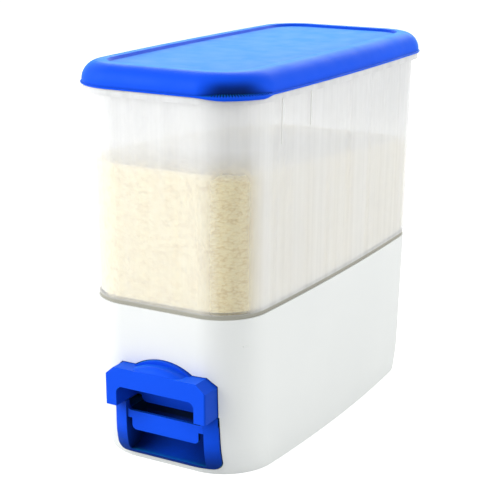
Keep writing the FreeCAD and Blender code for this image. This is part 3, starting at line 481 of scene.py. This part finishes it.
def lid_outer_profile(angle):
    """Outside of the lid from the lip's underside to the panel, as (inset, height)."""
    tab, tooth = tab_share(angle), TOOTH_HEIGHT * tooth_share(angle)
    low = LIP_Z - 0.05 - (TAB_DROP - 0.05) * tab
    points = [(1.1, LIP_Z), (1.1, low), (0.35 - TAB_REACH * tab, low),
              (-TAB_REACH * tab, low + 0.45), (-TAB_REACH * tab, LIP_Z + 1.2),
              (0.25 - TAB_REACH * tab, LIP_Z + 1.4),
              (0.5 - 0.75 * TAB_REACH * tab, LIP_Z + 1.5 + 0.7 * tooth),
              (0.8 - 0.35 * TAB_REACH * tab, LIP_Z + 1.7 + tooth), (1.1, LIP_Z + 1.9 + tooth)]
    edge_z = LID_TOP_Z - EDGE_R
    for k in range(1, 19):
        a = math.pi / 2 * k / 18
        points.append((LIP_INSET + EDGE_R * (1 - math.cos(a)), edge_z + EDGE_R * math.sin(a)))
    floor = LID_TOP_Z - PANEL_DEPTH
    points += [(PANEL_IN - 2.0, LID_TOP_Z), (PANEL_IN - 0.4, LID_TOP_Z - 0.05), (PANEL_IN, LID_TOP_Z - 0.3),
               (PANEL_IN + 1.3, floor + 0.3), (PANEL_IN + 1.8, floor + 0.03), (PANEL_IN + 3.0, floor),
               (PANEL_IN + 12.0, floor)]
    pushed = points[:8]
    pushed += [(inset + SCOOP_DEPTH * scoop_share(angle, z), z) for inset, z in points[8:]]
    return pushed


def lid_inner_profile(angle):
    """Inside of the lid from its foot to its ceiling."""
    foot = LIP_INSET + LID_WALL
    ceiling = LID_TOP_Z - PANEL_DEPTH - LID_WALL
    points = [(foot, LIP_Z)]
    for k in range(9):
        a = math.pi / 2 * k / 8
        points.append((foot + HOLLOW_R * (1 - math.cos(a)), ceiling - HOLLOW_R * (1 - math.sin(a))))
    points.append((PANEL_IN + 12.0, ceiling))
    return [(inset + (SCOOP_DEPTH - 1.0) * scoop_share(angle, z), z) for inset, z in points]


def ring_tube(outer, inner, low, high):
    """Closed upright ring between two outlines, as vertices and faces."""
    n = len(outer)
    verts = [(x, y, z) for z in (low, high) for outline in (outer, inner) for x, y in outline]
    o_low, i_low, o_high, i_high = 0, n, 2 * n, 3 * n
    faces = []
    for i in range(n):
        j = (i + 1) % n
        faces.append((o_low + i, o_low + j, o_high + j, o_high + i))
        faces.append((i_low + j, i_low + i, i_high + i, i_high + j))
        faces.append((o_high + i, o_high + j, i_high + j, i_high + i))
        faces.append((o_low + j, o_low + i, i_low + i, i_low + j))
    return verts, faces


def make_lid():
    """The lid as one smooth shell, with a rib inside that meets the hopper's rim."""
    stations = lid_stations()
    columns = []
    for x, y, nx, ny, angle in stations:
        profile = list(reversed(lid_inner_profile(angle))) + lid_outer_profile(angle)
        # The fourth value of each point is the scoop's painted shade.
        columns.append([(x - nx * inset, y - ny * inset, z,
                         scoop_share(angle, z) if 0 < inset < SHADE_REACH else 0.0)
                        for inset, z in profile])
    rows = len(columns[0])
    verts = [column[k] for k in range(rows) for column in columns]
    shades = [v[3] for v in verts]
    verts = [Vector(v[:3]) * MM for v in verts]
    faces = stacked_faces(len(stations), rows)
    rib_low, rib_high = TOP_Z + RIB_LIFT, LID_TOP_Z - PANEL_DEPTH - LID_WALL / 2
    rib_outer, rib_inner = hopper_section(rib_low), hopper_section(rib_low, RIB_WALL)
    rib_verts, rib_faces = ring_tube(rib_outer, rib_inner, rib_low, rib_high)
    start = len(verts)
    verts += [Vector(v) * MM for v in rib_verts]
    shades += [0.0] * len(rib_verts)
    faces += [tuple(start + i for i in face) for face in rib_faces]
    lid = mesh_object("lid_cover", verts, faces, blue, "lid", 50.0)
    # The "shade" attribute paints shade into the finger scoop; the blue material reads it.
    shade = lid.data.attributes.new("shade", "FLOAT", "POINT")
    shade.data.foreach_set("value", shades)
    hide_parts("lid")


make_lid()


# ------------------------------------------------------------------ fine moulded marks
WALL_LINES = (("wall_line_front", -124.5, 294.0), ("wall_line_rear", -74.5, 303.0))   # name, Y, low end
WALL_LINE_TOP_Z = 333.5
DASH_Z, DASH_ANGLE = 123.0, -31.0
MARK_FOOT, MARK_EASE, MARK_END_STEPS = 0.4, 0.3, 6


def moulded_bar(name, centre, along, normal, length, width, height, mat, body):
    """Low bar with round ends on a surface: its foot is sunk a little, its top edge is eased."""
    along, normal = Vector(along).normalized(), Vector(normal).normalized()
    across = normal.cross(along)
    run = (length - width) / 2
    rings = []
    for lift, shrink in ((-MARK_FOOT, 0.0), (height * 0.6, 0.0), (height, MARK_EASE)):
        radius = width / 2 * (1 - shrink)
        ring = []
        for end, start in ((1, -math.pi / 2), (-1, math.pi / 2)):
            for k in range(MARK_END_STEPS + 1):
                a = start + math.pi * k / MARK_END_STEPS
                ring.append((end * run + radius * math.cos(a), radius * math.sin(a), lift))
        rings.append(ring)
    verts = [(Vector(centre) + along * u + across * v + normal * w) * MM
             for ring in rings for u, v, w in ring]
    return mesh_object(name, verts, stacked_faces(len(rings[0]), len(rings)), mat, body)


def side_point(y, z):
    """Point of the hopper's right side at depth y and height z."""
    t = (z - SEAM_Z) / (TOP_Z - SEAM_Z)
    side_r, side_x = side_arc(lerp(HALF_W, TOP_W, t), lerp(HALF_D, TOP_D, t), BOW)
    return Vector((side_x + math.sqrt(side_r ** 2 - y ** 2), y, z))


def make_marks():
    """Two fine upright lines on the hopper's right side and a faint dash on the base's front right corner."""
    for name, y, low in WALL_LINES:
        foot, head = side_point(y, low), side_point(y, WALL_LINE_TOP_Z)
        moulded_bar(name, (foot + head) / 2, head - foot, (1, 0, 0), (head - foot).length, 0.9, 0.25,
                    natural, "hopper")
    t = DASH_Z / SEAM_Z
    radius = lerp(LOW_CORNER, CORNER, t)
    cx, cy = corner_centre(lerp(LOW_W, HALF_W, t), lerp(LOW_D, HALF_D, t), lerp(LOW_BOW, BOW, t), radius)
    angle = math.radians(DASH_ANGLE)
    normal = Vector((math.cos(angle), math.sin(angle), 0.0))
    centre = Vector((cx, -cy, DASH_Z)) + normal * radius
    moulded_bar("corner_dash", centre, (-normal.y, normal.x, 0.0), normal, 8.6, 1.4, 0.4,
                white, "base")


make_marks()


# ------------------------------------------------------------------ rice grains on the heap
GRAIN_COUNT = 5200
GRAIN_LENGTH, GRAIN_WIDTH = 6.2, 2.1


def rice_top(y):
    """Height of the heap's surface, in millimetres: it falls to the back and is gently crowned."""
    return RICE_MIDDLE_Z + RICE_SLOPE * y + RICE_CROWN * (1 - (y / TOP_D) ** 2)


def inside_contour(x, y, outline):
    """True if the point lies inside the closed outline."""
    hit = False
    for (xa, ya), (xb, yb) in zip(outline, outline[1:] + outline[:1]):
        if (ya > y) != (yb > y) and x < xa + (y - ya) / (yb - ya) * (xb - xa):
            hit = not hit
    return hit


def grain_shape():
    """Vertices and faces of one grain along X: a plump spindle with four sides."""
    rings = [(-0.36, 0.62), (-0.12, 1.0), (0.14, 0.98), (0.37, 0.58)]
    verts = [(-0.5, 0.0, 0.0)]
    for along, fat in rings:
        for k in range(4):
            a = math.pi / 4 + k * math.pi / 2
            verts.append((along, 0.5 * fat * math.cos(a), 0.5 * fat * math.sin(a)))
    verts.append((0.5, 0.0, 0.0))
    faces = [(0, 1 + (k + 1) % 4, 1 + k) for k in range(4)]
    for ring in range(len(rings) - 1):
        a, b = 1 + 4 * ring, 5 + 4 * ring
        faces += [(a + k, a + (k + 1) % 4, b + (k + 1) % 4, b + k) for k in range(4)]
    last, end = 1 + 4 * (len(rings) - 1), len(verts) - 1
    faces += [(last + k, last + (k + 1) % 4, end) for k in range(4)]
    return verts, faces


def make_grains():
    """One layer of loose grains over the heap's surface."""
    rng = random.Random(11)
    outline = hopper_section(RICE_BACK_Z, 6.4, side_n=12, corner_n=6, end_n=2)
    shape, shape_faces = grain_shape()
    verts, faces = [], []
    placed = 0
    while placed < GRAIN_COUNT:
        x, y = rng.uniform(-HALF_W, HALF_W), rng.uniform(-HALF_D, HALF_D)
        if not inside_contour(x, y, outline):
            continue
        turn = Matrix.Rotation(rng.uniform(0, math.tau), 3, "Z") @ Matrix.Rotation(rng.gauss(0, 0.22), 3, "Y")
        length, width = GRAIN_LENGTH * rng.uniform(0.8, 1.05), GRAIN_WIDTH * rng.uniform(0.85, 1.1)
        centre = Vector((x, y, rice_top(y) + rng.uniform(0.2, 1.4)))
        start = len(verts)
        for vx, vy, vz in shape:
            point = centre + turn @ Vector((vx * length, vy * width, vz * width))
            verts.append(point * MM)
        faces += [tuple(start + i for i in face) for face in shape_faces]
        placed += 1
    return mesh_object("rice_grains", verts, faces, rice_look, "hopper", 60.0)


make_grains()


# ------------------------------------------------------------------ studio, in metres
FLOOR_HALF, FLOOR_TONE, FLOOR_GLOW, WORLD_LIGHT = 8.0, 0.7, 0.64, 0.6
LAMPS = (
    # name, place, target, size, watts
    ("key", (-1.5, -1.6, 1.3), (0, 0, 0.2), (1.6, 1.6), 44),
    ("side", (2.3, 0.7, 0.9), (0, 0, 0.2), (1.6, 1.6), 23.5),
    ("back", (-0.7, 1.9, 1.5), (0, 0, 0.35), (2.0, 1.2), 24),
)
CAMERA_AZIMUTH, CAMERA_ELEVATION, CAMERA_ROLL = 29.343, 16.041, 0.175
CAMERA_PLACE = (0.6137, -1.0998, 0.5172)
CAMERA_LENS, CAMERA_SHIFT_X, CAMERA_SHIFT_Y = 95.36, -0.0174, 0.004


def stage_floor():
    """Pale floor that looks white to the camera and keeps the object's shadow."""
    corners = [(-FLOOR_HALF, -FLOOR_HALF, 0), (FLOOR_HALF, -FLOOR_HALF, 0),
               (FLOOR_HALF, FLOOR_HALF, 0), (-FLOOR_HALF, FLOOR_HALF, 0)]
    mesh = bpy.data.meshes.new("floor")
    mesh.from_pydata(corners, [], [(0, 1, 2, 3)])
    obj = bpy.data.objects.new("floor", mesh)
    bpy.context.scene.collection.objects.link(obj)
    mat, nodes, links, bsdf = new_material("floor_white")
    bsdf.inputs["Base Color"].default_value = (FLOOR_TONE, FLOOR_TONE, FLOOR_TONE, 1)
    bsdf.inputs["Roughness"].default_value = 0.9
    bsdf.inputs["Specular IOR Level"].default_value = 0.1
    bsdf.inputs["Emission Color"].default_value = (1, 1, 1, 1)
    path = nodes.new("ShaderNodeLightPath")
    links.new(math_node(nodes, links, "MULTIPLY", path.outputs["Is Camera Ray"], FLOOR_GLOW),
              bsdf.inputs["Emission Strength"])
    mesh.materials.append(mat)


def area_light(name, place, target, size, power):
    """Soft rectangular lamp aimed at a point."""
    data = bpy.data.lights.new(name, "AREA")
    data.shape = "RECTANGLE"
    data.size, data.size_y = size
    data.energy = power
    obj = bpy.data.objects.new(name, data)
    obj.location = place
    obj.rotation_euler = (Vector(target) - Vector(place)).to_track_quat("-Z", "Y").to_euler()
    bpy.context.scene.collection.objects.link(obj)


def make_world():
    """Even soft light; the camera, mirrors and glass see plain white."""
    world = bpy.data.worlds.new("studio")
    bpy.context.scene.world = world
    world.use_nodes = True
    nodes, links = world.node_tree.nodes, world.node_tree.links
    nodes.clear()
    out = nodes.new("ShaderNodeOutputWorld")
    mix = nodes.new("ShaderNodeMixShader")
    lit, seen = nodes.new("ShaderNodeBackground"), nodes.new("ShaderNodeBackground")
    lit.inputs[0].default_value = (0.97, 0.99, 1.0, 1)
    lit.inputs[1].default_value = WORLD_LIGHT
    seen.inputs[0].default_value = (1, 1, 1, 1)
    seen.inputs[1].default_value = 1.0
    path = nodes.new("ShaderNodeLightPath")
    direct = math_node(nodes, links, "MAXIMUM", path.outputs["Is Camera Ray"], path.outputs["Is Glossy Ray"])
    direct = math_node(nodes, links, "MAXIMUM", direct, path.outputs["Is Transmission Ray"])
    links.new(direct, mix.inputs[0])
    links.new(lit.outputs[0], mix.inputs[1])
    links.new(seen.outputs[0], mix.inputs[2])
    links.new(mix.outputs[0], out.inputs[0])


def make_camera():
    """Camera at the photograph's viewing angle."""
    azimuth, elevation = math.radians(CAMERA_AZIMUTH), math.radians(CAMERA_ELEVATION)
    roll = math.radians(CAMERA_ROLL)
    level = math.cos(elevation)
    back = Vector((math.sin(azimuth) * level, -math.cos(azimuth) * level, math.sin(elevation)))
    right = Vector((math.cos(azimuth), math.sin(azimuth), 0.0))
    up = back.cross(right)
    right, up = right * math.cos(roll) + up * math.sin(roll), up * math.cos(roll) - right * math.sin(roll)
    data = bpy.data.cameras.new("camera")
    data.sensor_width = 36.0
    data.lens = CAMERA_LENS
    data.shift_x, data.shift_y = CAMERA_SHIFT_X, CAMERA_SHIFT_Y
    data.clip_start, data.clip_end = 0.05, 50.0
    obj = bpy.data.objects.new("camera", data)
    rotation = Matrix((right, up, back)).transposed().to_4x4()
    obj.matrix_world = Matrix.Translation(CAMERA_PLACE) @ rotation
    bpy.context.scene.collection.objects.link(obj)
    bpy.context.scene.camera = obj


stage_floor()
make_world()
for lamp in LAMPS:
    area_light(*lamp)
make_camera()
bpy.context.scene.view_settings.view_transform = "Standard"
